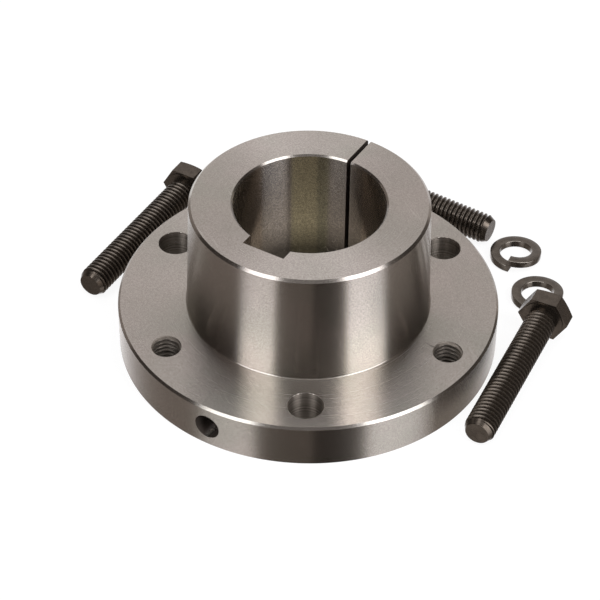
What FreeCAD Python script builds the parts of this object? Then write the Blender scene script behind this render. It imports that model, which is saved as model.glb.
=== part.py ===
import FreeCAD
import Part
import math
import os

from FreeCAD import Placement, Rotation, Vector

# Quick disconnect bushing with its cap screws, lock washers and set screw, in millimetres, +Z up.
# The origin is the centre of the bore in the flange's flat outer face, which lies on the floor.
# The tapered hub points up. The keyway and the set screw are on the -Y side, the split on the +Y side.

# Flange and tapered hub
flange_diameter = 152.4
flange_thickness = 18.5
flange_edge_chamfer = 0.9
flange_face_chamfer = 0.2
overall_length = 66.675
hub_share_of_flange = 0.639
hub_taper = 0.75 / 12.0
hub_edge_chamfer = 1.0
hub_root_ease = 0.8

# Bore, keyway and split
bore_diameter = 60.0
bore_edge_chamfer = 0.7
keyway_width = 18.0
keyway_depth = 4.4
split_width = 1.8

# Cap screws: 1/2 inch thread, left plain here and as wide as the crests of the thread.
# They are a little shorter than 2 3/4 inches, as the standard for such screws allows.
screw_thread_diameter = 12.7
screw_thread_play = 0.1
screw_length = 69.2
screw_point_chamfer = 1.4
screw_point_length = 2.6
head_across_flats = 18.3
head_thickness = 7.5
head_chamfer_angle = 30.0
washer_face_height = 0.4
washer_face_margin = 0.6

# The two sets of holes in the flange: drilled for the cap screws, tapped for jacking the bushing off
hole_centre_to_rim = 12.7
holes_per_set = 3
drilled_hole_clearance = 0.65
first_drilled_hole_angle = -60.0
first_tapped_hole_angle = 0.0

# Lock washers: square-edged spring steel, wound against the screw's turn, with the ends sprung apart
washer_clearance = 0.3
washer_section_width = 4.05
washer_thickness = 3.0
washer_end_rise = 2.9
washer_end_gap = 1.0
washer_lean = 4.8
washer_steps = 16

# Set screw over the keyway: 3/8 inch thread, with a hexagon socket and a cup point
set_screw_diameter = 9.525
set_screw_play = 0.05
set_screw_length = 12.7
set_screw_height = 9.0
set_screw_sink = 6.0
set_screw_socket_flats = 4.76
set_screw_socket_depth = 5.6
set_screw_edge_chamfer = 0.9
set_screw_cup_depth = 1.6

# Where the loose pieces lie round the flange: bearing of the place, its distance from the rim, and heading.
# A screw's place is under its head's seat or its point, and it heads the way its point looks.
SCREWS_ON_THE_FLOOR = {
    "cap_screw_1": ("head", 29.3, 18.1, -84.3),
    "cap_screw_2": ("point", 67.6, 20.0, 0.7),
    "cap_screw_3": ("head", 155.1, 19.1, -90.4),
}
# A washer's place is its centre, and its heading is where its lower end points from there.
WASHERS_ON_THE_FLOOR = {
    "lock_washer_1": (43.6, 20.7, -86.0),
    "lock_washer_2": (59.3, 23.1, -85.0),
    "lock_washer_3": (133.3, 24.2, 30.0),
}

# Sizes that follow from the ones above
flange_radius = flange_diameter / 2
bore_radius = bore_diameter / 2
hub_radius_at_flange = flange_radius * hub_share_of_flange
hub_radius_at_top = hub_radius_at_flange - (overall_length - flange_thickness) * hub_taper / 2
screw_circle_radius = flange_radius - hole_centre_to_rim
screw_radius = screw_thread_diameter / 2
shank_radius = screw_radius - screw_thread_play
drilled_hole_radius = screw_radius + drilled_hole_clearance
washer_inner_radius = screw_radius + washer_clearance
washer_outer_radius = washer_inner_radius + washer_section_width
set_screw_radius = set_screw_diameter / 2

UP = Vector(0, 0, 1)
ORIGIN = Vector(0, 0, 0)
OVERCUT = 1.0


def polar(radius, angle, z=0.0):
    """The point at a radius and a bearing, in degrees, from the Z axis."""
    return Vector(radius * math.cos(math.radians(angle)), radius * math.sin(math.radians(angle)), z)


def revolved(points):
    """The solid of a closed outline of (radius, height) points, turned about the Z axis."""
    corners = [Vector(radius, 0, height) for radius, height in points]
    outline = Part.makePolygon(corners + corners[:1])
    return Part.Face(outline).revolve(ORIGIN, UP, 360)


def hexagon_bar(across_flats, height, z=0.0):
    """An upright hexagon bar with two of its flats facing +X and -X."""
    corner_radius = across_flats / math.sqrt(3)
    corners = [polar(corner_radius, 30 + 60 * corner, z) for corner in range(7)]
    return Part.Face(Part.makePolygon(corners)).extrude(UP * height)


def turned_body():
    """Flange and tapered hub with the bore through them, as turned on the lathe.

    The root of the hub is eased by two small cones in the place of a fillet.
    """
    flange_edge = flange_edge_chamfer
    face_edge = flange_face_chamfer
    hub_edge = hub_edge_chamfer
    bore_edge = bore_edge_chamfer
    root = hub_root_ease
    root_middle = root * (1 - math.sqrt(0.5))
    return revolved([
        (bore_radius, bore_edge),
        (bore_radius + bore_edge, 0),
        (flange_radius - face_edge, 0),
        (flange_radius, face_edge),
        (flange_radius, flange_thickness - flange_edge),
        (flange_radius - flange_edge, flange_thickness),
        (hub_radius_at_flange + root, flange_thickness),
        (hub_radius_at_flange + root_middle, flange_thickness + root_middle),
        (hub_radius_at_flange - root * hub_taper / 2, flange_thickness + root),
        (hub_radius_at_top + hub_edge * hub_taper / 2, overall_length - hub_edge),
        (hub_radius_at_top - hub_edge, overall_length),
        (bore_radius + bore_edge, overall_length),
        (bore_radius, overall_length - bore_edge),
    ])


def keyway():
    """The key's slot, cut outwards from the bore on the -Y side."""
    length = overall_length + 2 * OVERCUT
    floor = bore_radius + keyway_depth
    return Part.makeBox(keyway_width, floor, length, Vector(-keyway_width / 2, -floor, -OVERCUT))


def split():
    """The saw cut through hub and flange on the +Y side, which lets the bushing close on the shaft."""
    length = overall_length + 2 * OVERCUT
    reach = flange_radius + OVERCUT
    return Part.makeBox(split_width, reach, length, Vector(-split_width / 2, 0, -OVERCUT))


def flange_holes(radius, first_angle):
    """One set of evenly spaced holes through the flange."""
    spacing = 360.0 / holes_per_set
    length = flange_thickness + 2 * OVERCUT
    return [
        Part.makeCylinder(radius, length, polar(screw_circle_radius, first_angle + spacing * hole, -OVERCUT))
        for hole in range(holes_per_set)
    ]


def set_screw_hole():
    """The tapped hole from the rim of the flange in to the keyway, as wide as its thread is outside."""
    mouth = Vector(0, -flange_radius - OVERCUT, set_screw_height)
    return Part.makeCylinder(set_screw_radius, flange_radius + OVERCUT - bore_radius, mouth, Vector(0, 1, 0))


def make_bushing():
    drilled = flange_holes(drilled_hole_radius, first_drilled_hole_angle)
    tapped = flange_holes(screw_radius, first_tapped_hole_angle)
    return turned_body().cut([keyway(), split(), set_screw_hole()] + drilled + tapped)


def screw_head():
    """The hexagon head above z = 0: its washer face below, its corners turned off above."""
    flats_radius = head_across_flats / 2
    corner_radius = head_across_flats / math.sqrt(3)
    turned_edge_drop = (corner_radius - flats_radius) * math.tan(math.radians(head_chamfer_angle))
    turning = revolved([
        (0, 0),
        (corner_radius, 0),
        (corner_radius, head_thickness - turned_edge_drop),
        (flats_radius, head_thickness),
        (0, head_thickness),
    ])
    hexagon = hexagon_bar(head_across_flats, head_thickness - washer_face_height, washer_face_height)
    washer_face = Part.makeCylinder(flats_radius - washer_face_margin, washer_face_height)
    return hexagon.common(turning).fuse(washer_face)


def make_cap_screw():
    """A cap screw standing on its point's axis: seat of the head at z = 0, point at the bottom."""
    shank = revolved([
        (0, 0),
        (shank_radius, 0),
        (shank_radius, screw_point_length - screw_length),
        (shank_radius - screw_point_chamfer, -screw_length),
        (0, -screw_length),
    ])
    return screw_head().fuse(shank).removeSplitter()


def climbing_slab(inner_radius, outer_radius):
    """A slab as thick as a lock washer that climbs once round Z, clockwise as seen from above.

    It climbs in flat three-cornered steps, which follow the real washer's twist to 0.03 mm.
    """
    middle_radius = (washer_inner_radius + washer_outer_radius) / 2
    turn = 360 - math.degrees(washer_end_gap / middle_radius)

    def corner(radius, step):
        share = step / washer_steps
        return polar(radius, -turn * share, washer_end_rise * share)

    prisms = []
    for step in range(washer_steps):
        near_inner, near_outer = corner(inner_radius, step), corner(outer_radius, step)
        far_inner, far_outer = corner(inner_radius, step + 1), corner(outer_radius, step + 1)
        for corners in ((near_inner, near_outer, far_outer), (near_inner, far_outer, far_inner)):
            tread = Part.Face(Part.makePolygon([*corners, corners[0]]))
            prisms.append(tread.extrude(UP * washer_thickness))
    return prisms[0].multiFuse(prisms[1:])


def make_lock_washer():
    """One turn of square-edged wire, lower end at the +X side, climbing away from it."""
    height = washer_end_rise + washer_thickness
    ring = Part.makeCylinder(washer_outer_radius, height).cut(Part.makeCylinder(washer_inner_radius, height))
    slab = climbing_slab(washer_inner_radius - OVERCUT, washer_outer_radius + OVERCUT)
    return ring.common(slab).removeSplitter()


def make_set_screw():
    """The set screw along +Z: cup point at z = 0, hexagon socket at the top."""
    radius = set_screw_radius - set_screw_play
    edge = set_screw_edge_chamfer
    rim = radius - edge
    body = revolved([
        (0, set_screw_cup_depth),
        (rim, 0),
        (radius, edge),
        (radius, set_screw_length - edge),
        (rim, set_screw_length),
        (0, set_screw_length),
    ])
    socket_floor = set_screw_length - set_screw_socket_depth
    return body.cut(hexagon_bar(set_screw_socket_flats, set_screw_socket_depth + OVERCUT, socket_floor))


def screw_laid_down(screw, anchor, bearing, rim_gap, heading):
    """A cap screw lying on the floor, on the edge of a head flat and the end of its thread."""
    flats_radius = head_across_flats / 2
    thread_end = screw_length - screw_point_length
    dip = math.atan2(flats_radius - shank_radius, thread_end)
    anchor_distance = screw_length if anchor == "point" else 0.0
    along = Vector(math.cos(dip), 0, -math.sin(dip))
    seat = Vector(0, 0, flats_radius * math.cos(dip)) - Vector(along.x * anchor_distance, 0, 0)
    point_forward = Rotation(Vector(0, 1, 0), math.degrees(dip) - 90)
    lying = Placement(seat, point_forward)
    turned = Placement(polar(flange_radius + rim_gap, bearing), Rotation(UP, heading))
    laid = screw.copy()
    laid.Placement = turned.multiply(lying)
    return laid


def washer_laid_down(washer, bearing, rim_gap, heading):
    """A lock washer lying on the floor, leaning back from its lower end onto the side across from it."""
    laid = washer.copy()
    lean = Placement(ORIGIN, Rotation(Vector(0, 1, 0), -washer_lean))
    turn = Placement(polar(flange_radius + rim_gap, bearing), Rotation(UP, heading))
    laid.Placement = turn.multiply(lean)
    lowest_point = laid.optimalBoundingBox(False, False).ZMin
    laid.translate(-UP * lowest_point)
    return laid


def set_screw_in_its_hole(set_screw):
    """The set screw in the flange's rim, socket outwards."""
    point = Vector(0, set_screw_sink + set_screw_length - flange_radius, set_screw_height)
    set_screw.Placement = Placement(point, Rotation(Vector(1, 0, 0), 90))
    return set_screw


def make_pieces():
    """Every piece by name, in its place."""
    pieces = {"bushing": make_bushing()}
    cap_screw = make_cap_screw()
    for name, place in SCREWS_ON_THE_FLOOR.items():
        pieces[name] = screw_laid_down(cap_screw, *place)
    lock_washer = make_lock_washer()
    for name, place in WASHERS_ON_THE_FLOOR.items():
        pieces[name] = washer_laid_down(lock_washer, *place)
    pieces["set_screw"] = set_screw_in_its_hole(make_set_screw())
    return pieces


os.makedirs("parts", exist_ok=True)
for node, shape in make_pieces().items():
    shape.exportStep(f"parts/{node}.step")
    box = shape.BoundBox
    print(f"{node}: valid {shape.isValid()}, {len(shape.Solids)} solid, {shape.Volume:.0f} mm3, "
          f"z {box.ZMin:.3f} to {box.ZMax:.3f}")
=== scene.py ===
import math

import bmesh
import bpy
from mathutils import Matrix, Vector


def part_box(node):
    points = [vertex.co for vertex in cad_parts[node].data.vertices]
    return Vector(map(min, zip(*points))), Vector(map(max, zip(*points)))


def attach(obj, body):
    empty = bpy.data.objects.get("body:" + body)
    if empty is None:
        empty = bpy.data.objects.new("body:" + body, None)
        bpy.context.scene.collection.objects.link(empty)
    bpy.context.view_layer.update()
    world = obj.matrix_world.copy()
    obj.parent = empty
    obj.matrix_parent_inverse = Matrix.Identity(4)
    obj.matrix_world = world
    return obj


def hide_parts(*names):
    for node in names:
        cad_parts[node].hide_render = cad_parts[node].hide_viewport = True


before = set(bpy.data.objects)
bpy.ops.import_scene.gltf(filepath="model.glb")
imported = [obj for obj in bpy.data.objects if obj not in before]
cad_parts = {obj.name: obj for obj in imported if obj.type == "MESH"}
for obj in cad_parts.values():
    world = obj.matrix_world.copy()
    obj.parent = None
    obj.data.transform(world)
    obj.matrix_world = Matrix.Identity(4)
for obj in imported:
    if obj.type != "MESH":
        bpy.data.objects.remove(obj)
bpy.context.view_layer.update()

# Sizes in millimetres, as in the part's source. The bushing stands on its flange, its bore round the Z axis.
MM = 0.001
FLANGE_RADIUS = 76.2
FLANGE_THICKNESS = 18.5
FLANGE_CHAMFER = 0.9
FLANGE_FACE_CHAMFER = 0.2
OVERALL_LENGTH = 66.675
HUB_RADIUS_AT_FLANGE = 48.69
HUB_RADIUS_AT_TOP = 47.185
HUB_CHAMFER = 1.0
HUB_ROOT_FILLET = 0.5
BORE_RADIUS = 30.0
BORE_CHAMFER = 0.7
KEYWAY_WIDTH = 18.0
KEYWAY_FLOOR = 34.4
SPLIT_WIDTH = 1.8

# Holes in the flange
SCREW_CIRCLE_RADIUS = 63.5
DRILLED_HOLE_RADIUS = 7.0
DRILLED_HOLE_BEARINGS = (-60, 60, 180)
TAPPED_HOLE_BEARINGS = (0, 120, 240)
DRILLED_HOLE_BREAK = 0.2
TAPPED_MOUTH_RADIUS = 5.95
SET_SCREW_HOLE_HEIGHT = 9.0
SET_SCREW_SINK = 6.0
SET_SCREW_MOUTH_RADIUS = 5.3
SET_SCREW_MOUTH_DEPTH = 8.0
SET_SCREW_MOUTH_TO_THE_SIDE = 0.5

# Threads: their pitch, their radius over the crests and at the roots, and the flat on a crest
JACK_THREAD = {"pitch": 1.954, "crest": 6.35, "root": 5.35, "crest_flat": 0.244}
CAP_SCREW_THREAD = {"pitch": 1.954, "crest": 6.25, "root": 5.1, "crest_flat": 0.244}
SET_SCREW_HOLE_THREAD = {"pitch": 1.5875, "crest": 4.7625, "root": 3.98, "crest_flat": 0.2}
SET_SCREW_THREAD = {"pitch": 1.5875, "crest": 4.7125, "root": 3.8, "crest_flat": 0.2}
THREAD_FLANK_ANGLE = 30
TURNS_BELOW = 2
TURNS_TO_SPARE = 3

# Cap screws
SCREW_LENGTH = 69.2
SCREW_POINT_CHAMFER = 1.4
SCREW_POINT_LENGTH = 2.6
SCREW_POINT_CORE_RADIUS = 5.75
SCREW_NECK_LENGTH = 1.0
SCREW_NECK_RADIUS = 5.7
HEAD_ACROSS_FLATS = 18.29
HEAD_THICKNESS = 7.5
HEAD_CORNER_DROP = 0.817
HEAD_EDGE_ROUNDING = 0.17
WASHER_FACE_THICKNESS = 0.4
WASHER_FACE_RADIUS = 8.55

# Set screw
SET_SCREW_LENGTH = 12.7
SET_SCREW_SOCKET_FLATS = 4.76
SET_SCREW_SOCKET_DEPTH = 5.6
SET_SCREW_CHAMFER = 0.9
SET_SCREW_CUP_DEPTH = 1.6

# Lock washers
WASHER_INNER_RADIUS = 6.65
WASHER_OUTER_RADIUS = 10.7
WASHER_THICKNESS = 2.9
WASHER_END_RISE = 2.95
WASHER_END_GAP = 0.4
WASHER_END_SLANT = 0.9
WASHER_END_FOOT = 0.5
WASHER_EDGE_ROUNDING = 0.3
WASHER_LEAN = 4.8
WASHER_HEADINGS = {"lock_washer_1": -86.0, "lock_washer_2": -85.0, "lock_washer_3": 30.0}

# How finely round pieces are divided, and from which angle on their edges are sharp
BUSHING_SIDES = 240
BAR_SIDES = 96
SET_SCREW_SIDES = 64
THREAD_SIDES = 48
WASHER_STEPS = 160
CHAMFER_STEPS = 1
FILLET_STEPS = 5
HEAD_EDGE_STEPS = 2
WASHER_EDGE_STEPS = 3
EDGE_ANGLE = 30
THREAD_EDGE_ANGLE = 15
HEAD_EDGE_ANGLE = 28

# How far cutters and joined pieces reach past each other, and how near counts as touching
OVERCUT = 1.0
OVERLAP = 0.1
SKIM = 0.01
NEAR_RADIUS = 0.05
NEAR_HEIGHT = 0.01
NEAR_WALL = 0.1
NEAR_CREST = 0.02
MERGE_DISTANCE = 0.002
SAW_PRECISION = 0.0001

# Which way a face looks, by its normal's part along an axis, and which faces are large or small (square mm)
ALONG = 0.98
ACROSS = 0.1
LARGE_SCREW_FACE = 1.5
SMALL_SCREW_FACE = 2.0
SMALL_WASHER_FACE = 0.3

# Where a face of the bushing lies, as its mark "bored" says it to the steel's material
OUTSIDE = 0.0
IN_THE_BORE = 0.5
IN_A_HOLE = 0.75
IN_THE_DARK = 1.0

# Camera: where it stands from the point that it looks at, in degrees and millimetres
CAMERA_BEARING = -59.4
CAMERA_ELEVATION = 41.122
CAMERA_DISTANCE = 934.0
CAMERA_ROLL = 0.7236
CAMERA_LENS = 139.54
CAMERA_SENSOR = 36
CAMERA_SIGHT = 20000
AIM_TO_THE_RIGHT = -3.31
AIM_HEIGHT = 16.41

# Studio: at each height in the sky (its sine), strips that each end at a bearing and have a brightness.
# Bearings are in degrees to the right of the camera.
STUDIO_STRIPS = {
    -0.80: [(-146, 1.7), (-134, 1.35), (-122, 0.75), (-112, 0.35), (-60, 0.24), (-31, 0.57), (4, 0.1),
            (35, 0.035), (70, 0.68), (104, 0.22), (118, 0.22), (130, 0.55), (143, 0.95), (180, 1.6)],
    -0.45: [(-146, 1.5), (-134, 1.0), (-122, 0.5), (-112, 0.35), (-60, 0.27), (-29, 0.78), (4, 0.13),
            (34, 0.04), (69, 1.12), (104, 0.37), (118, 0.3), (130, 0.45), (143, 0.75), (180, 1.25)],
    -0.10: [(-145, 1.2), (-112, 0.35), (-60, 0.1), (-29, 1.35), (4, 0.22), (34, 0.06), (69, 1.7),
            (104, 0.15), (130, 0.25), (143, 0.5), (180, 0.95)],
    0.25: [(-146, 1.15), (-112, 0.25), (-60, 0.03), (-29, 2.2), (34, 0.08), (69, 2.8), (130, 0.05),
           (150, 0.35), (180, 0.95)],
    0.50: [(-150, 0.65), (-112, 0.1), (-60, 0.03), (-29, 3.0), (34, 0.06), (69, 3.8), (150, 0.03),
           (180, 0.45)],
    0.75: [(-155, 0.85), (-66, 0.03), (-33, 3.8), (36, 0.04), (77, 4.8), (98, 0.3), (155, 0.03),
           (180, 0.85)],
    0.92: [(-145, 1.5), (-72, 0.3), (-35, 2.8), (38, 0.2), (82, 3.4), (145, 0.3), (180, 1.5)],
    0.99: [(180, 1.3)],
}
STRIP_JOIN = 1.5
UNLIT_TINT = (1.08, 0.9, 0.78)
LIT_TINT = (1.0, 1.0, 1.03)
WHITE = (1.0, 1.0, 1.0)
FLOOR_SIZE = 6000
FLOOR_COLOUR = (0.9, 0.9, 0.9)
FLOOR_GLOW = 1.1
FLOOR_GLOW_SHARE = 0.82
# Painted shade: colours of dark glowing discs under the bushing that stand for the floor in its shadow, seen
# only in the mirror of its bore and holes
PAINTED_SHADE_COLOUR_IN_THE_BORE = (0.45, 0.39, 0.32)
PAINTED_SHADE_COLOUR_IN_THE_HOLES = (0.2, 0.17, 0.14)
HEIGHT_IN_THE_HOLES = 0.02
HEIGHT_IN_THE_BORE = 0.04
SHADED_FLOOR_MARGIN = 1.0

# Finishes: their colours as (red, green, blue)
BLACK = (0.0, 0.0, 0.0)
BRIGHT_STEEL = (0.57, 0.52, 0.48)
DULL_STEEL = (0.51, 0.485, 0.436)
PATINA = (0.485, 0.475, 0.42)
STEEL_GRAIN = (0.34, 0.30, 0.27)
SCRATCHED_STEEL = (0.9, 0.86, 0.8)
# Painted shade in the holes: drill grooves and ridges in a darkened colour, and a darker one for the split
# and the set screw's hole
DRILL_GROOVES_IN_PAINTED_SHADE = (0.155, 0.133, 0.11)
DRILL_RIDGES_IN_PAINTED_SHADE = (0.275, 0.24, 0.205)
PAINTED_SHADE_IN_DARK_HOLES = (0.07, 0.055, 0.045)
# Black oxide and spring steel with their rubbed colours: brighter where crests and edges are worn, which also
# paints in their highlights
BLACK_OXIDE = (0.123, 0.102, 0.083)
RUBBED_AND_HIGHLIT_OXIDE = (0.195, 0.168, 0.141)
SPRING_STEEL = (0.17, 0.148, 0.125)
RUBBED_AND_HIGHLIT_SPRING_STEEL = (0.34, 0.31, 0.27)

# Finishes: how many of a mark there are to the metre
STAINS = 38.0
PATINA_PATCHES = 45.0
STEEL_GRAINS = 1700.0
BORE_PITS = 1300.0
DRILL_LINES = 1400.0
LATHE_LINES = 9000.0
SCRATCH_PATCHES = 55.0
RUBBED_PATCHES = 420.0
OXIDE_GRAINS = 5200.0

# Finishes: how strong the marks are, how metallic the steel is and between which values a noise mostly lies
GRAIN_SHARE = 0.48
PATINA_SHARE = 0.6
SCRATCH_SHARE = 0.35
SCRATCH_HEADING = 0.6
SCRATCH_COVER = 0.5
SCRATCH_STRETCH = (9.0, 420.0, 260.0)
SCRATCH_WIDTH = 0.012
LATHE_LINE_CHANGE = 1.5
LATHE_LINE_RELIEF = 0.08
GRAIN_RELIEF = 0.35
DRILL_LINE_RELIEF = 20.0
ROUGHER_IN_HOLES = 0.3
LEAST_METALLIC = 0.3
STEEL_BUMP = {"Strength": 0.12, "Distance": 0.00006}
OXIDE_BUMP = {"Strength": 0.15, "Distance": 0.00004}
OXIDE_METALLIC = 0.9
OXIDE_SHADE = 0.7
NOISE = (0.35, 0.65)
WIDE_NOISE = (0.3, 0.7)

# Colour of the bore's wall, in streaks that each end at a bearing of the part: a tint of tarnish and oil with
# painted light and shade in bands by bearing. The wall also has painted shade, darker from one height down to
# another.
BORE_TINT_AND_PAINTED_BANDS = [
    (76, (0.55, 0.485, 0.43)), (106, (0.42, 0.385, 0.355)), (114.6, (0.41, 0.40, 0.31)),
    (134.6, (0.62, 0.59, 0.44)), (137.6, (0.38, 0.35, 0.33)), (160, (0.60, 0.56, 0.53)),
    (180, (0.60, 0.53, 0.47)),
]
BORE_LIT_HEIGHT = 33
BORE_DARKEST_HEIGHT = 19
BORE_SHADE = 0.2


# Working on a piece

def deselect_everything():
    if bpy.context.object and bpy.context.object.mode != "OBJECT":
        bpy.ops.object.mode_set(mode="OBJECT")
    bpy.ops.object.select_all(action="DESELECT")


def take_up(piece):
    """Makes a piece the one that operators act on."""
    deselect_everything()
    piece.select_set(True)
    bpy.context.view_layer.objects.active = piece


def edit(piece, mode="FACE"):
    """Opens a piece for editing with nothing selected."""
    take_up(piece)
    bpy.ops.object.mode_set(mode="EDIT")
    bpy.ops.mesh.select_mode(type=mode)
    bpy.ops.mesh.select_all(action="DESELECT")


def close_editing():
    bpy.ops.object.mode_set(mode="OBJECT")


def select_faces(piece, wanted):
    mesh = bmesh.from_edit_mesh(piece.data)
    for face in mesh.faces:
        face.select_set(bool(wanted(face)))
    bmesh.update_edit_mesh(piece.data)


def select_edges(piece, wanted):
    mesh = bmesh.from_edit_mesh(piece.data)
    for edge in mesh.edges:
        edge.select_set(bool(wanted(edge)))
    bmesh.update_edit_mesh(piece.data)


def add_primitive(add, name, **how):
    """A new primitive, alone selected."""
    deselect_everything()
    add(**how)
    piece = bpy.context.object
    piece.name = piece.data.name = name
    return piece


def round_bar(name, radius, bottom, top, sides=BAR_SIDES):
    """An upright cylinder on the Z axis."""
    bar = add_primitive(
        bpy.ops.mesh.primitive_cylinder_add, name, vertices=sides, radius=radius * MM,
        depth=(top - bottom) * MM, location=(0, 0, (top + bottom) / 2 * MM), end_fill_type="NGON")
    bpy.ops.object.transform_apply(location=True)
    return bar


def block(name, low, high):
    """An upright box between two corners."""
    low, high = Vector(low) * MM, Vector(high) * MM
    piece = add_primitive(bpy.ops.mesh.primitive_cube_add, name, size=1, location=(low + high) / 2)
    piece.scale = high - low
    bpy.ops.object.transform_apply(location=True, scale=True)
    return piece


def tapered_bar(name, bottom_radius, top_radius, bottom, top):
    """An upright cone without its tip, on the Z axis."""
    bar = add_primitive(
        bpy.ops.mesh.primitive_cone_add, name, vertices=BAR_SIDES, radius1=bottom_radius * MM,
        radius2=top_radius * MM, depth=(top - bottom) * MM, location=(0, 0, (top + bottom) / 2 * MM),
        end_fill_type="NGON")
    bpy.ops.object.transform_apply(location=True)
    return bar


def drawn_line(name, corners, closed=False):
    """A line in the XZ plane, drawn from corner to corner as (radius, height)."""
    places = [Vector((radius, 0, height)) * MM for radius, height in corners]
    line = add_primitive(bpy.ops.mesh.primitive_plane_add, name, size=MM, location=places[0])
    bpy.ops.object.transform_apply(location=True)
    edit(line, "VERT")
    bpy.ops.mesh.select_all(action="SELECT")
    bpy.ops.mesh.merge(type="CENTER")
    for start, end in zip(places, places[1:]):
        bpy.ops.mesh.extrude_vertices_move(TRANSFORM_OT_translate={"value": end - start})
    if closed:
        bpy.ops.mesh.select_all(action="SELECT")
        bpy.ops.mesh.edge_face_add()
    close_editing()
    return line


def apply_modifier(piece, kind, **settings):
    take_up(piece)
    modifier = piece.modifiers.new(kind.title(), kind)
    for name, value in settings.items():
        setattr(modifier, name, value)
    bpy.ops.object.modifier_apply(modifier=modifier.name)


def combine(piece, other, operation):
    """A boolean of two pieces, of which the second is used up."""
    apply_modifier(piece, "BOOLEAN", object=other, operation=operation, solver="MANIFOLD")
    bpy.data.objects.remove(other)
    return piece


def shade(piece, edge_angle=EDGE_ANGLE):
    """Shades a piece smooth, but for its edges."""
    take_up(piece)
    bpy.ops.object.shade_smooth_by_angle(angle=math.radians(edge_angle))
    return piece


def shade_flats_flat(piece, large):
    """Takes the smoothing off a piece's ends and off its large faces, which are flat on the real one."""
    for face in piece.data.polygons:
        if abs(face.normal.z) > ALONG or face.area > large * MM * MM:
            face.use_smooth = False


def clean_up(piece):
    """Merges doubles, turns the faces outwards and shades them."""
    edit(piece)
    bpy.ops.mesh.select_all(action="SELECT")
    bpy.ops.mesh.remove_doubles(threshold=MERGE_DISTANCE * MM)
    bpy.ops.mesh.normals_make_consistent(inside=False)
    close_editing()
    return shade(piece)


def wind(line, turns, pitch, sides):
    """Turns a drawn line round the Z axis, climbing by the pitch at each turn."""
    apply_modifier(line, "SCREW", angle=math.tau, screw_offset=pitch * MM, iterations=turns,
                   steps=sides, render_steps=sides, axis="Z", use_merge_vertices=False)
    return line


def saw_off(piece, height, side):
    """Cuts a piece level at a height, drops what is on that side and closes the cut."""
    edit(piece)
    bpy.ops.mesh.select_all(action="SELECT")
    bpy.ops.mesh.bisect(plane_co=(0, 0, height * MM), plane_no=(0, 0, side), use_fill=True,
                        clear_outer=True, threshold=SAW_PRECISION * MM)
    close_editing()


def threaded_bar(name, thread, bottom, top):
    """A right-hand threaded bar on the Z axis, sawn off at both ends."""
    pitch, crest, root = thread["pitch"], thread["crest"], thread["root"]
    flank = (crest - root) * math.tan(math.radians(THREAD_FLANK_ANGLE))
    root_flat = pitch - thread["crest_flat"] - 2 * flank
    start = bottom - TURNS_BELOW * pitch
    bar = drawn_line(name, [
        (root, start),
        (root, start + root_flat),
        (crest, start + root_flat + flank),
        (crest, start + pitch - flank),
        (root, start + pitch),
    ])
    wind(bar, math.ceil((top - bottom) / pitch) + TURNS_TO_SPARE, pitch, THREAD_SIDES)
    clean_up(bar)
    saw_off(bar, bottom, -1)
    saw_off(bar, top, 1)
    return clean_up(bar)


def set_at(piece, place, tip=0):
    """Tips a piece over about the X axis by some degrees and moves it to a place, both in its mesh."""
    tipped = Matrix.Rotation(math.radians(tip), 4, "X")
    piece.matrix_world = Matrix.Translation(Vector(place) * MM) @ tipped
    take_up(piece)
    bpy.ops.object.transform_apply(location=True, rotation=True)
    return piece


def copy_of(piece, name):
    """A copy of a piece with a mesh of its own."""
    copy = piece.copy()
    copy.data = piece.data.copy()
    copy.name = copy.data.name = name
    bpy.context.scene.collection.objects.link(copy)
    return copy


def polar(radius, bearing):
    """A place on the floor, by its radius and bearing round the bore."""
    angle = math.radians(bearing)
    return Vector((radius * math.cos(angle), radius * math.sin(angle), 0))


def ring_at(edge, radius, height):
    """Whether an edge is part of the circle of that radius and height round the Z axis."""
    return all(abs(v.co.xy.length - radius * MM) < NEAR_RADIUS * MM
               and abs(v.co.z - height * MM) < NEAR_HEIGHT * MM for v in edge.verts)


def mark(piece, name, domain, amount):
    """Writes how strong a trait is at each corner point or face, for a material to read."""
    items = piece.data.vertices if domain == "POINT" else piece.data.polygons
    trait = piece.data.attributes.new(name, "FLOAT", domain)
    trait.data.foreach_set("value", [float(amount(item)) for item in items])


def points_of_edges(piece, small):
    """The corner points that touch only faces smaller than that, as those on rounded edges do."""
    largest = [0.0] * len(piece.data.vertices)
    for face in piece.data.polygons:
        for point in face.vertices:
            largest[point] = max(largest[point], face.area)
    return {point for point, area in enumerate(largest) if area < small * MM * MM}


def end_disc(face, height):
    """Whether a face is the whole round end of a bar, at that height."""
    is_round = len(face.verts) >= BAR_SIDES
    return is_round and abs(face.calc_center_median().z - height * MM) < NEAR_HEIGHT * MM


# The bushing

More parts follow.
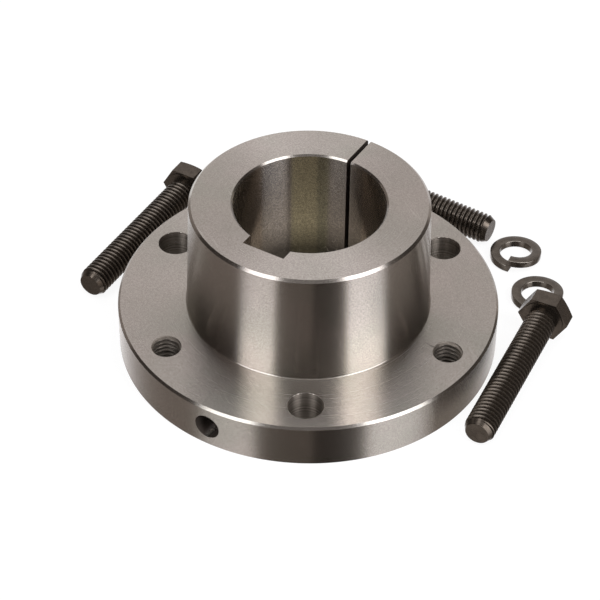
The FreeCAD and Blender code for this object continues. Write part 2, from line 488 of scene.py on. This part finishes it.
def turned_blank():
    """Flange, tapered hub and bore, turned from one bar and chamfered."""
    blank = round_bar("bushing_body", FLANGE_RADIUS, 0, FLANGE_THICKNESS, BUSHING_SIDES)
    edit(blank)
    select_faces(blank, lambda face: end_disc(face, FLANGE_THICKNESS))
    bpy.ops.mesh.inset(thickness=(FLANGE_RADIUS - HUB_RADIUS_AT_FLANGE) * MM)
    rise = (OVERALL_LENGTH - FLANGE_THICKNESS) * MM
    bpy.ops.mesh.extrude_region_move(TRANSFORM_OT_translate={"value": (0, 0, rise)})
    narrowing = HUB_RADIUS_AT_TOP / HUB_RADIUS_AT_FLANGE
    bpy.ops.transform.resize(value=(narrowing, narrowing, 1))
    bpy.ops.mesh.inset(thickness=(HUB_RADIUS_AT_TOP - BORE_RADIUS) * MM)
    bpy.ops.mesh.delete(type="ONLY_FACE")
    select_faces(blank, lambda face: end_disc(face, 0))
    bpy.ops.mesh.inset(thickness=(FLANGE_RADIUS - BORE_RADIUS) * MM)
    bpy.ops.mesh.delete(type="ONLY_FACE")
    bpy.ops.mesh.select_mode(type="EDGE")
    select_edges(blank, lambda edge: any(ring_at(edge, BORE_RADIUS, end) for end in (0, OVERALL_LENGTH)))
    bpy.ops.mesh.bridge_edge_loops()
    for radius, height, width, steps in (
            (FLANGE_RADIUS, 0, FLANGE_FACE_CHAMFER, CHAMFER_STEPS),
            (FLANGE_RADIUS, FLANGE_THICKNESS, FLANGE_CHAMFER, CHAMFER_STEPS),
            (HUB_RADIUS_AT_TOP, OVERALL_LENGTH, HUB_CHAMFER, CHAMFER_STEPS),
            (BORE_RADIUS, 0, BORE_CHAMFER, CHAMFER_STEPS),
            (BORE_RADIUS, OVERALL_LENGTH, BORE_CHAMFER, CHAMFER_STEPS),
            (HUB_RADIUS_AT_FLANGE, FLANGE_THICKNESS, HUB_ROOT_FILLET, FILLET_STEPS)):
        select_edges(blank, lambda edge: ring_at(edge, radius, height))
        bpy.ops.mesh.bevel(offset=width * MM, segments=steps, affect="EDGES")
    close_editing()
    return clean_up(blank)


def flare(bar, height, rise, widening):
    """Draws the upper end of a bar further up, wider or narrower."""
    edit(bar)
    select_faces(bar, lambda face: end_disc(face, height))
    bpy.ops.mesh.extrude_region_move(TRANSFORM_OT_translate={"value": (0, 0, rise * MM)})
    bpy.ops.transform.resize(value=(widening, widening, 1))
    close_editing()
    return bar


def drill():
    """What the drilled holes are cut with: a bar that widens at the top, to break the hole's edge."""
    start = FLANGE_THICKNESS - DRILLED_HOLE_BREAK
    bar = round_bar("drill", DRILLED_HOLE_RADIUS, -OVERCUT, start)
    return flare(bar, start, OVERCUT, 1 + OVERCUT / DRILLED_HOLE_RADIUS)


def jack_tap():
    """What the tapped holes are cut with: a threaded bar, and a cone for the mouth."""
    root = JACK_THREAD["root"]
    tap = threaded_bar("tap", JACK_THREAD, -OVERCUT, FLANGE_THICKNESS + OVERCUT)
    depth = TAPPED_MOUTH_RADIUS - root
    start = FLANGE_THICKNESS - depth
    countersink = round_bar("countersink", root, start - 2 * depth, start)
    return tap, flare(countersink, start, 2 * depth, 1 + 2 * depth / root)


def set_screw_tap():
    """What the set screw's hole is cut with: a threaded bar from the bore to the rim, and a plain bar for the
    mouth, a little to the side of it."""
    tap = threaded_bar("set_screw_tap", SET_SCREW_HOLE_THREAD, BORE_RADIUS - OVERCUT, FLANGE_RADIUS + OVERCUT)
    mouth = round_bar("set_screw_mouth", SET_SCREW_MOUTH_RADIUS, FLANGE_RADIUS - SET_SCREW_MOUTH_DEPTH,
                      FLANGE_RADIUS + OVERCUT)
    return (set_at(tap, (0, 0, SET_SCREW_HOLE_HEIGHT), tip=90),
            set_at(mouth, (SET_SCREW_MOUTH_TO_THE_SIDE, 0, SET_SCREW_HOLE_HEIGHT), tip=90))


def in_a_flange_hole(place):
    holes = [polar(SCREW_CIRCLE_RADIUS, bearing) for bearing in DRILLED_HOLE_BEARINGS + TAPPED_HOLE_BEARINGS]
    return any((place.xy - hole.xy).length < DRILLED_HOLE_RADIUS + NEAR_WALL for hole in holes)


def in_the_set_screw_hole(place):
    from_its_axis = math.hypot(place.x - SET_SCREW_MOUTH_TO_THE_SIDE, place.z - SET_SCREW_HOLE_HEIGHT)
    between_bore_and_rim = OVERCUT - FLANGE_RADIUS < place.y < -BORE_RADIUS
    return between_bore_and_rim and from_its_axis < SET_SCREW_MOUTH_RADIUS + NEAR_WALL


def how_bored(face):
    """Where a face of the bushing lies: outside, in the bore and its keyway, in a hole along the axis, or in
    the dark of the split or the set screw's hole."""
    place = face.center / MM
    in_keyway = (abs(place.x) < KEYWAY_WIDTH / 2 + NEAR_WALL
                 and -KEYWAY_FLOOR - NEAR_WALL < place.y < 0)
    if place.xy.length < BORE_RADIUS + NEAR_WALL or in_keyway:
        return IN_THE_BORE if abs(face.normal.z) < ACROSS else OUTSIDE
    if abs(face.normal.z) > ALONG:
        return OUTSIDE
    if in_a_flange_hole(place):
        return IN_A_HOLE
    in_split = abs(place.x) < SPLIT_WIDTH and place.y > 0 and abs(face.normal.x) > ALONG
    return IN_THE_DARK if in_split or in_the_set_screw_hole(place) else OUTSIDE


def bushing_body():
    """The bushing with its keyway, split and holes cut."""
    body = turned_blank()
    top = OVERALL_LENGTH + OVERCUT
    half_key, half_split = KEYWAY_WIDTH / 2, SPLIT_WIDTH / 2
    cutters = [
        block("key_cutter", (-half_key, -KEYWAY_FLOOR, -OVERCUT), (half_key, 0, top)),
        block("saw", (-half_split, 0, -OVERCUT), (half_split, FLANGE_RADIUS + OVERCUT, top)),
    ]
    cutters += [set_at(drill(), polar(SCREW_CIRCLE_RADIUS, bearing)) for bearing in DRILLED_HOLE_BEARINGS]
    for bearing in TAPPED_HOLE_BEARINGS:
        cutters += [set_at(cutter, polar(SCREW_CIRCLE_RADIUS, bearing)) for cutter in jack_tap()]
    cutters += set_screw_tap()
    for cutter in cutters:
        combine(body, cutter, "DIFFERENCE")
    mark(body, "bored", "FACE", how_bored)
    return shade(body)


# The cap screws, lock washers and set screw

def hexagon_head():
    """The head over z = 0: a hexagon with its corners turned off and its edges eased."""
    flats_radius = HEAD_ACROSS_FLATS / 2
    corner_radius = HEAD_ACROSS_FLATS / math.sqrt(3)
    head = round_bar("hexagon", corner_radius, WASHER_FACE_THICKNESS, HEAD_THICKNESS, sides=6)
    shoulder = HEAD_THICKNESS - HEAD_CORNER_DROP
    shoulder_radius = corner_radius + HEAD_CORNER_DROP
    envelope = round_bar("envelope", shoulder_radius, -OVERCUT, shoulder)
    flare(envelope, shoulder, HEAD_CORNER_DROP, flats_radius / shoulder_radius)
    combine(head, envelope, "INTERSECT")
    clean_up(head)
    apply_modifier(head, "BEVEL", width=HEAD_EDGE_ROUNDING * MM, segments=HEAD_EDGE_STEPS,
                   limit_method="ANGLE", angle_limit=math.radians(HEAD_EDGE_ANGLE))
    return head


def turned_shank():
    """The outline of a cap screw's shank as turned: its chamfered point, and the neck under the head."""
    bottom, crest = -SCREW_LENGTH, CAP_SCREW_THREAD["crest"]
    outside = crest + SKIM
    blank = drawn_line("shank_blank", [
        (0, bottom),
        (crest - SCREW_POINT_CHAMFER, bottom),
        (outside, bottom + SCREW_POINT_LENGTH),
        (outside, SCREW_NECK_RADIUS - crest - SCREW_NECK_LENGTH),
        (SCREW_NECK_RADIUS, -SCREW_NECK_LENGTH),
        (SCREW_NECK_RADIUS, OVERCUT / 2),
        (0, OVERCUT / 2),
    ])
    wind(blank, 1, 0, BAR_SIDES)
    return clean_up(blank)


def point_core():
    """The solid end of a cap screw's point, on which the thread runs out."""
    bottom, face_radius = -SCREW_LENGTH, CAP_SCREW_THREAD["crest"] - SCREW_POINT_CHAMFER
    slope = SCREW_POINT_CHAMFER / SCREW_POINT_LENGTH
    top = bottom + (SCREW_POINT_CORE_RADIUS - face_radius) / slope
    start_radius = face_radius - slope * OVERCUT
    return tapered_bar("point_core", start_radius, SCREW_POINT_CORE_RADIUS, bottom - OVERCUT, top)


def on_a_crest(point, thread):
    """Whether a corner point of a screw on the Z axis lies on its thread's crest."""
    return point.co.xy.length > (thread["crest"] - NEAR_CREST) * MM


def cap_screw():
    """A cap screw that stands on its point, with the seat of its head at z = 0."""
    screw = threaded_bar("cap_screw", CAP_SCREW_THREAD, -SCREW_LENGTH, 0)
    combine(screw, point_core(), "UNION")
    combine(screw, turned_shank(), "INTERSECT")
    washer_face = round_bar("washer_face", WASHER_FACE_RADIUS, 0, WASHER_FACE_THICKNESS + OVERLAP)
    neck = round_bar("neck", SCREW_NECK_RADIUS, -SCREW_NECK_LENGTH, 2 * OVERLAP)
    for part in (washer_face, neck, hexagon_head()):
        combine(screw, part, "UNION")
    shade(screw, THREAD_EDGE_ANGLE)
    shade_flats_flat(screw, LARGE_SCREW_FACE)
    head_edges = points_of_edges(screw, SMALL_SCREW_FACE)

    # Head edges and thread crests: rubbed, and lighter with painted highlights
    def is_rubbed_or_highlit(point):
        if point.co.z > (WASHER_FACE_THICKNESS + NEAR_CREST) * MM:
            return point.index in head_edges
        return point.co.z < 0 and on_a_crest(point, CAP_SCREW_THREAD)

    mark(screw, "worn_and_highlit", "POINT", is_rubbed_or_highlit)
    return screw


def at_washer_end(edge, end):
    """Whether an edge is at the foot of the end of the washer that starts at that height."""
    return all(v.co.x > 0 and abs(v.co.y) < (WASHER_END_GAP + NEAR_WALL) * MM
               and -NEAR_HEIGHT * MM < v.co.z - end * MM < WASHER_END_FOOT * MM for v in edge.verts)


def lock_washer():
    """One turn of square wire with eased edges, lower end at the +X side, climbing clockwise from above."""
    inner, outer, top = WASHER_INNER_RADIUS, WASHER_OUTER_RADIUS, WASHER_THICKNESS
    washer = drawn_line("lock_washer", [(inner, 0), (outer, 0), (outer, top), (inner, top)], closed=True)
    edit(washer, "VERT")
    bpy.ops.mesh.select_all(action="SELECT")
    bpy.ops.mesh.bevel(offset=WASHER_EDGE_ROUNDING * MM, segments=WASHER_EDGE_STEPS, affect="VERTICES")
    close_editing()
    turn = math.tau - WASHER_END_GAP / ((inner + outer) / 2)
    apply_modifier(washer, "SCREW", angle=-turn, screw_offset=WASHER_END_RISE * MM, iterations=1,
                   steps=WASHER_STEPS, render_steps=WASHER_STEPS, axis="Z", use_merge_vertices=False)
    edit(washer, "EDGE")
    bpy.ops.mesh.select_non_manifold()
    bpy.ops.mesh.edge_face_add()
    for end, way in ((0, 1), (WASHER_END_RISE, -1)):
        select_edges(washer, lambda edge: at_washer_end(edge, end))
        bpy.ops.transform.translate(value=(0, way * WASHER_END_SLANT * MM, 0))
    close_editing()
    clean_up(washer)
    edges = points_of_edges(washer, SMALL_WASHER_FACE)
    # Rounded edges: rubbed, and lighter with painted highlights
    mark(washer, "worn_and_highlit", "POINT", lambda point: point.index in edges)
    return washer


def set_screw():
    """The set screw along +Z, cup point at z = 0 and hexagon socket at the top."""
    screw = threaded_bar("set_screw_threaded", SET_SCREW_THREAD, 0, SET_SCREW_LENGTH)
    crest = SET_SCREW_THREAD["crest"]
    rim = crest - SET_SCREW_CHAMFER
    blank = drawn_line("set_screw_blank", [
        (0, SET_SCREW_CUP_DEPTH),
        (rim, 0),
        (crest + SKIM, SET_SCREW_CHAMFER),
        (crest + SKIM, SET_SCREW_LENGTH - SET_SCREW_CHAMFER),
        (rim, SET_SCREW_LENGTH),
        (0, SET_SCREW_LENGTH),
    ])
    wind(blank, 1, 0, SET_SCREW_SIDES)
    clean_up(blank)
    combine(screw, blank, "INTERSECT")
    socket_radius = SET_SCREW_SOCKET_FLATS / math.sqrt(3)
    socket_floor = SET_SCREW_LENGTH - SET_SCREW_SOCKET_DEPTH
    socket = round_bar("socket", socket_radius, socket_floor, SET_SCREW_LENGTH + OVERCUT, sides=6)
    combine(screw, socket, "DIFFERENCE")
    clean_up(screw)
    # Thread crests: rubbed, and lighter with painted highlights
    mark(screw, "worn_and_highlit", "POINT", lambda point: on_a_crest(point, SET_SCREW_THREAD))
    return screw


# Where the loose pieces lie

def largest_side(node, wanted):
    """The largest flat side among the wanted faces of a CAD node, as (middle, direction)."""
    sides = {}
    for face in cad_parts[node].data.polygons:
        if wanted(face):
            direction = tuple(round(value, 2) for value in face.normal)
            sides.setdefault(direction, []).append(face)
    faces = max(sides.values(), key=lambda side: sum(face.area for face in side))
    area = sum(face.area for face in faces)
    middle = sum((face.area * face.center for face in faces), Vector()) / area
    return middle, sum((face.area * face.normal for face in faces), Vector()).normalized()


def where_screw_lies(node):
    """Takes a screw that stands on the Z axis to where its CAD node lies, a flat of its head down."""
    head_top, up_the_screw = largest_side(node, lambda face: True)
    seat = head_top - up_the_screw * HEAD_THICKNESS * MM

    def is_heads_lower_side(face):
        return face.normal.z < -ALONG and (face.center - seat).dot(up_the_screw) > 0

    _, down = largest_side(node, is_heads_lower_side)
    across = up_the_screw.cross(down)
    return Matrix.Translation(seat) @ Matrix((down, across, up_the_screw)).transposed().to_4x4()


def where_washer_lies(washer, node):
    """Takes a washer round the Z axis to where its CAD node lies on the floor, leaning as that one does."""
    heading = Matrix.Rotation(math.radians(WASHER_HEADINGS[node]), 4, "Z")
    turn = heading @ Matrix.Rotation(math.radians(-WASHER_LEAN), 4, "Y")
    across, along, up = zip(*(turn @ v.co for v in washer.data.vertices))
    low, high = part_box(node)
    shift = Vector((
        (low.x + high.x - min(across) - max(across)) / 2,
        (low.y + high.y - min(along) - max(along)) / 2,
        low.z - min(up),
    ))
    return Matrix.Translation(shift) @ turn


def put_in_place(piece, matrix, node, material):
    """Sets a piece down where its CAD node is, in its own mesh, and lets it stand for the node."""
    piece.data.transform(matrix)
    piece.data.materials.clear()
    piece.data.materials.append(material)
    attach(piece, "root")
    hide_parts(node)


# Finishes

class Tree:
    """A short way to write shader nodes. An input is another node's socket or a value of its own."""

    def __init__(self, tree):
        self.tree = tree
        tree.nodes.clear()

    def feed(self, socket, value):
        """Links a socket or sets its value, a colour as (red, green, blue)."""
        if isinstance(value, bpy.types.NodeSocket):
            self.tree.links.new(value, socket)
        elif socket.type == "RGBA":
            socket.default_value = (*value, 1.0)
        else:
            socket.default_value = value

    def node(self, kind, inputs=None, **settings):
        made = self.tree.nodes.new(kind)
        for name, value in settings.items():
            setattr(made, name, value)
        for name, value in (inputs or {}).items():
            self.feed(made.inputs[name], value)
        return made

    def group(self, group, inputs):
        return self.node("ShaderNodeGroup", inputs, node_tree=group).outputs[0]

    def math(self, operation, first, second=0.0):
        return self.node("ShaderNodeMath", {0: first, 1: second}, operation=operation).outputs[0]

    def noise(self, vector, scale, detail=2.0, roughness=0.5):
        inputs = {"Vector": vector, "Scale": scale, "Detail": detail, "Roughness": roughness}
        return self.node("ShaderNodeTexNoise", inputs).outputs["Fac"]

    def spread(self, value, low, high, to_low=0.0, to_high=1.0):
        """The value, spread from one range to another and kept inside it."""
        made = self.node("ShaderNodeMapRange", {
            "Value": value, "From Min": low, "From Max": high, "To Min": to_low, "To Max": to_high})
        return made.outputs[0]

    def mixed(self, share, first, second):
        """A colour between two, the second one by its share."""
        made = self.node("ShaderNodeMix", {0: share, 6: first, 7: second}, data_type="RGBA")
        return made.outputs[2]

    def bearing(self, parts):
        """The bearing of a place or direction round the Z axis, from 0 at -180 degrees to 1 at 180."""
        angle = self.math("ARCTAN2", parts[1], parts[0])
        return self.spread(angle, -math.pi, math.pi)

    def finish(self, shader, output="ShaderNodeOutputMaterial"):
        """Links a shader to the output."""
        self.node(output, {"Surface": shader})


def node_group(name, inputs, output):
    """An empty shader node group of numbers and one vector: (tree, its inputs, its output)."""
    group = bpy.data.node_groups.new(name, "ShaderNodeTree")
    tree = Tree(group)
    group.interface.new_socket("Position", in_out="INPUT", socket_type="NodeSocketVector")
    for socket in inputs:
        group.interface.new_socket(socket, in_out="INPUT", socket_type="NodeSocketFloat")
    group.interface.new_socket(output, in_out="OUTPUT", socket_type="NodeSocketFloat")
    return tree, tree.node("NodeGroupInput").outputs, tree.node("NodeGroupOutput").inputs[output]


def lathe_lines_group():
    """Fine rings round the Z axis, as a lathe leaves them, on faces and walls alike."""
    tree, given, height = node_group("lathe_lines", ["Lines per metre"], "Height")
    parts = tree.node("ShaderNodeSeparateXYZ", {0: given["Position"]}).outputs
    squares = [tree.math("MULTIPLY", part, part) for part in parts[:2]]
    radius = tree.math("SQRT", tree.math("ADD", *squares))
    angle = tree.math("ARCTAN2", parts[1], parts[0])
    place = tree.node("ShaderNodeCombineXYZ", {
        0: tree.math("MULTIPLY", radius, given["Lines per metre"]),
        1: tree.math("MULTIPLY", parts[2], given["Lines per metre"]),
        2: tree.math("MULTIPLY", tree.math("COSINE", angle), LATHE_LINE_CHANGE)}).outputs[0]
    lines = tree.node("ShaderNodeTexNoise", {
        "Vector": place, "W": tree.math("MULTIPLY", tree.math("SINE", angle), LATHE_LINE_CHANGE),
        "Scale": 1.0, "Detail": 3.0}, noise_dimensions="4D").outputs["Fac"]
    tree.feed(height, lines)
    return tree.tree


def scratches_group():
    """Long faint scratches in patches, where a stretched noise crosses its middle."""
    tree, given, mask = node_group("scratches", ["Heading", "Cover"], "Mask")
    turned = tree.node("ShaderNodeVectorRotate", {
        "Vector": given["Position"], "Angle": given["Heading"]}, rotation_type="Z_AXIS").outputs[0]
    stretched = tree.node("ShaderNodeVectorMath", {
        0: turned, 1: SCRATCH_STRETCH}, operation="MULTIPLY").outputs[0]
    lines = tree.noise(stretched, 1.0, detail=1.0)
    off_the_middle = tree.math("ABSOLUTE", tree.math("SUBTRACT", lines, 0.5))
    thin = tree.spread(off_the_middle, 0.0, SCRATCH_WIDTH, 1.0, 0.0)
    patches = tree.noise(given["Position"], SCRATCH_PATCHES, detail=1.0)
    here = tree.spread(patches, tree.math("SUBTRACT", 1.0, given["Cover"]), 0.8)
    tree.feed(mask, tree.math("MULTIPLY", thin, here))
    return tree.tree


def new_material(name):
    """An empty material: (material, its tree)."""
    material = bpy.data.materials.new(name)
    material.use_nodes = True
    return material, Tree(material.node_tree)


def strips_ramp(tree, position, strips):
    """A colour by bearing, from strips of (up to this bearing, colour)."""
    ramp = tree.node("ShaderNodeValToRGB", {0: position})
    marks, start = [], -180
    for end, colour in strips:
        marks += [(start + STRIP_JOIN, colour), (end - STRIP_JOIN, colour)]
        start = end
    stops = ramp.color_ramp.elements
    while len(stops) < len(marks):
        stops.new(0.5)
    for stop, (bearing, colour) in zip(stops, marks):
        stop.position = (bearing + 180) / 360
        stop.color = (*colour, 1)
    return ramp.outputs[0]


def turned_steel(name, lathe_lines, scratches, roughness, anisotropy):
    """Bare turned steel; tarnished in the bore, with painted bands of light and shade and painted shade
    deepening downwards; grooved by the drill in the holes, which are painted darker as shade, darkest in the
    split and the set screw's hole.
    """
    material, tree = new_material(name)
    place = tree.node("ShaderNodeTexCoord").outputs["Object"]
    parts = tree.node("ShaderNodeSeparateXYZ", {0: place}).outputs
    bored = tree.node("ShaderNodeAttribute", attribute_name="bored").outputs["Fac"]
    in_a_hole = tree.spread(bored, IN_THE_BORE, IN_A_HOLE)

    stains = tree.spread(tree.noise(place, STAINS, detail=3.0), 0.35, 0.7)
    patina = tree.spread(tree.noise(place, PATINA_PATCHES, detail=3.0), 0.52, 0.68, 0.0, PATINA_SHARE)
    grain = tree.noise(place, STEEL_GRAINS, detail=3.0, roughness=0.6)
    base = tree.mixed(stains, BRIGHT_STEEL, DULL_STEEL)
    base = tree.mixed(patina, base, PATINA)
    base = tree.mixed(tree.spread(grain, *NOISE, 0.0, GRAIN_SHARE), base, STEEL_GRAIN)

    # The bore: a tint with painted bands of light and shade by bearing, pits, and painted shade deepening
    # down the bore
    tint_and_painted_bands = strips_ramp(tree, tree.bearing(parts), BORE_TINT_AND_PAINTED_BANDS)
    pits = tree.spread(tree.noise(place, BORE_PITS, detail=3.0), 0.4, 0.62, 1.0, 0.7)
    depth = tree.spread(parts[2], BORE_DARKEST_HEIGHT * MM, BORE_LIT_HEIGHT * MM, BORE_SHADE, 1.0)
    tarnished = tree.mixed(tree.math("MULTIPLY", pits, depth), BLACK, tint_and_painted_bands)
    grooves = tree.node("ShaderNodeTexNoise", {
        "W": tree.math("MULTIPLY", parts[2], DRILL_LINES), "Scale": 1.0, "Detail": 1.0},
        noise_dimensions="1D").outputs["Fac"]
    # Drill grooves in painted shade, with deeper painted shade in the split and the set screw's hole
    drilled = tree.mixed(tree.spread(grooves, *NOISE), DRILL_GROOVES_IN_PAINTED_SHADE, DRILL_RIDGES_IN_PAINTED_SHADE)
    drilled = tree.mixed(tree.spread(bored, IN_A_HOLE, IN_THE_DARK), drilled, PAINTED_SHADE_IN_DARK_HOLES)
    inside = tree.mixed(in_a_hole, tarnished, drilled)
    base = tree.mixed(tree.spread(bored, OUTSIDE, IN_THE_BORE), base, inside)

    lines = tree.group(lathe_lines, {"Position": place, "Lines per metre": LATHE_LINES})
    scratch = tree.group(scratches, {"Position": place, "Heading": SCRATCH_HEADING, "Cover": SCRATCH_COVER})
    base = tree.mixed(tree.math("MULTIPLY", scratch, SCRATCH_SHARE), base, SCRATCHED_STEEL)
    rough = tree.math("ADD", tree.spread(lines, *WIDE_NOISE, roughness - 0.01, roughness + 0.01),
                      tree.math("MULTIPLY", in_a_hole, ROUGHER_IN_HOLES))
    # Painted shade also by metallic: the split and the set screw's hole mirror less and look darker
    metallic = tree.spread(bored, IN_THE_BORE, IN_THE_DARK, 1.0, LEAST_METALLIC)
    drill_lines = tree.math("MULTIPLY", grooves, in_a_hole)
    height = tree.math("SUBTRACT", tree.math("MULTIPLY", lines, LATHE_LINE_RELIEF), scratch)
    height = tree.math("ADD", height, tree.math("MULTIPLY", grain, GRAIN_RELIEF))
    height = tree.math("ADD", height, tree.math("MULTIPLY", drill_lines, DRILL_LINE_RELIEF))
    bump = tree.node("ShaderNodeBump", {"Height": height, **STEEL_BUMP}).outputs[0]
    round_z = tree.node("ShaderNodeTangent", direction_type="RADIAL", axis="Z").outputs[0]
    tree.finish(tree.node("ShaderNodeBsdfPrincipled", {
        "Base Color": base, "Metallic": metallic, "Roughness": rough, "Normal": bump, "Tangent": round_z,
        "Anisotropic": anisotropy, "Anisotropic Rotation": 0.25}).outputs[0])
    return material


def black_steel(name, colour, rubbed_and_highlit_colour, roughness):
    """Oiled dark steel, faintly brown, and rubbed brighter on the crests and edges, a lightening that also
    paints in their highlights.
    """
    material, tree = new_material(name)
    place = tree.node("ShaderNodeTexCoord").outputs["Object"]
    worn_and_highlit = tree.node("ShaderNodeAttribute", attribute_name="worn_and_highlit").outputs["Fac"]
    patches = tree.noise(place, RUBBED_PATCHES, detail=3.0)
    # Worn crests and edges made lighter: real rubbing with painted highlights
    rubbed = tree.math("MULTIPLY", tree.spread(worn_and_highlit, 0.6, 1.0), tree.spread(patches, 0.3, 0.6, 0.45, 1.0))
    darker = [OXIDE_SHADE * part for part in colour]
    base = tree.mixed(tree.spread(patches, *WIDE_NOISE), colour, darker)
    base = tree.mixed(rubbed, base, rubbed_and_highlit_colour)
    rough = tree.spread(patches, *WIDE_NOISE, roughness - 0.04, roughness + 0.08)
    grain = tree.noise(place, OXIDE_GRAINS, detail=2.0)
    bump = tree.node("ShaderNodeBump", {"Height": grain, **OXIDE_BUMP}).outputs[0]
    tree.finish(tree.node("ShaderNodeBsdfPrincipled", {
        "Base Color": base, "Metallic": OXIDE_METALLIC, "Roughness": rough, "Normal": bump}).outputs[0])
    return material


# The studio

def studio_colour(brightness):
    """The colour of a strip of the studio: dim ones are a little brown, as unlit walls are."""
    lit = min(brightness, 1.0)
    return tuple(brightness * (dim + lit * (bright - dim)) for dim, bright in zip(UNLIT_TINT, LIT_TINT))


def studio_world():
    """White for the camera, and for the metal a studio of bright and dark strips round the camera."""
    world = bpy.data.worlds.new("studio")
    bpy.context.scene.world = world
    world.use_nodes = True
    tree = Tree(world.node_tree)
    direction = tree.node("ShaderNodeTexCoord").outputs["Generated"]
    from_camera = tree.node("ShaderNodeVectorRotate", {
        "Vector": direction, "Angle": -math.radians(CAMERA_BEARING)}, rotation_type="Z_AXIS").outputs[0]
    parts = tree.node("ShaderNodeSeparateXYZ", {0: from_camera}).outputs
    position = tree.bearing(parts)
    sky, below = None, None
    for height, strips in STUDIO_STRIPS.items():
        band = strips_ramp(tree, position, [(end, studio_colour(brightness)) for end, brightness in strips])
        sky = tree.mixed(tree.spread(parts[2], below, height), sky, band) if sky else band
        below = height
    to_camera = tree.node("ShaderNodeLightPath").outputs["Is Camera Ray"]
    background = tree.node("ShaderNodeBackground", {"Color": tree.mixed(to_camera, sky, WHITE)})
    tree.finish(background.outputs[0], "ShaderNodeOutputWorld")


def floor():
    """A white floor that takes a faint shadow and stays out of the metal's reflections."""
    sheet = add_primitive(bpy.ops.mesh.primitive_plane_add, "floor", size=FLOOR_SIZE * MM)
    material, tree = new_material("white_floor")
    lit = tree.node("ShaderNodeBsdfDiffuse", {"Color": FLOOR_COLOUR}).outputs[0]
    glow = tree.node("ShaderNodeEmission", {"Color": WHITE, "Strength": FLOOR_GLOW}).outputs[0]
    tree.finish(tree.node("ShaderNodeMixShader", {0: FLOOR_GLOW_SHARE, 1: lit, 2: glow}).outputs[0])
    sheet.data.materials.append(material)
    sheet.visible_glossy = False


def painted_shade_disc(name, radius, height, colour):
    """A disc of painted shade under the bushing: it glows in a dark colour, stands for the floor in the
    bushing's shadow, and only its bore and holes mirror it.
    """
    patch = add_primitive(bpy.ops.mesh.primitive_circle_add, name, radius=radius * MM, vertices=BAR_SIDES,
                          location=(0, 0, height * MM), fill_type="NGON")
    material, tree = new_material(name)
    tree.finish(tree.node("ShaderNodeEmission", {"Color": colour}).outputs[0])
    patch.data.materials.append(material)
    patch.visible_camera = patch.visible_diffuse = patch.visible_shadow = False


def photo_camera():
    """The camera where the photograph was taken from."""
    bearing, elevation = math.radians(CAMERA_BEARING), math.radians(CAMERA_ELEVATION)
    towards = Vector((math.cos(bearing) * math.cos(elevation), math.sin(bearing) * math.cos(elevation),
                      math.sin(elevation)))
    right = Vector((-math.sin(bearing), math.cos(bearing), 0))
    aim = (right * AIM_TO_THE_RIGHT + Vector((0, 0, AIM_HEIGHT))) * MM
    turn = Matrix((right, towards.cross(right), towards)).transposed() @ Matrix.Rotation(
        math.radians(CAMERA_ROLL), 3, "Z")
    data = bpy.data.cameras.new("photo_camera")
    data.lens = CAMERA_LENS
    data.sensor_width = CAMERA_SENSOR
    data.clip_end = CAMERA_SIGHT * MM
    camera = bpy.data.objects.new("photo_camera", data)
    camera.matrix_world = Matrix.Translation(aim + towards * CAMERA_DISTANCE * MM) @ turn.to_4x4()
    bpy.context.scene.collection.objects.link(camera)
    bpy.context.scene.camera = camera


def studio():
    """Camera, world and floor."""
    bpy.context.scene.view_settings.view_transform = "Standard"
    photo_camera()
    studio_world()
    floor()
    # Discs of painted shade under the bushing, for its bore and holes to mirror
    painted_shade_disc("painted_shade_under_the_holes", FLANGE_RADIUS - SHADED_FLOOR_MARGIN, HEIGHT_IN_THE_HOLES,
                 PAINTED_SHADE_COLOUR_IN_THE_HOLES)
    painted_shade_disc("painted_shade_under_the_bore", BORE_RADIUS + SHADED_FLOOR_MARGIN, HEIGHT_IN_THE_BORE,
                 PAINTED_SHADE_COLOUR_IN_THE_BORE)


def bushing():
    """The bushing in turned steel, with its level faces in faced steel."""
    lathe_lines, scratches = lathe_lines_group(), scratches_group()
    steel = turned_steel("turned_steel", lathe_lines, scratches, roughness=0.26, anisotropy=1.0)
    faced_steel = turned_steel("faced_steel", lathe_lines, scratches, roughness=0.265, anisotropy=0.9)
    body = bushing_body()
    put_in_place(body, Matrix.Identity(4), "bushing", steel)
    body.data.materials.append(faced_steel)
    for face in body.data.polygons:
        face.material_index = 1 if face.normal.z > ALONG else 0


def loose_pieces():
    """The cap screws and lock washers where they lie, and the set screw in its hole."""
    oxide = black_steel("black_oxide_steel", BLACK_OXIDE, RUBBED_AND_HIGHLIT_OXIDE, roughness=0.24)
    spring = black_steel("spring_steel", SPRING_STEEL, RUBBED_AND_HIGHLIT_SPRING_STEEL, roughness=0.22)
    screw, washer = cap_screw(), lock_washer()
    for node in sorted(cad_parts):
        if node.startswith("cap_screw"):
            put_in_place(copy_of(screw, node + "_threaded"), where_screw_lies(node), node, oxide)
        elif node.startswith("lock_washer"):
            put_in_place(copy_of(washer, node + "_sprung"), where_washer_lies(washer, node), node, spring)
    for pattern in (screw, washer):
        bpy.data.objects.remove(pattern)
    cup_point = (0, SET_SCREW_SINK + SET_SCREW_LENGTH - FLANGE_RADIUS, SET_SCREW_HOLE_HEIGHT)
    in_its_hole = Matrix.Translation(Vector(cup_point) * MM) @ Matrix.Rotation(math.radians(90), 4, "X")
    put_in_place(set_screw(), in_its_hole, "set_screw", oxide)


studio()
bushing()
loose_pieces()
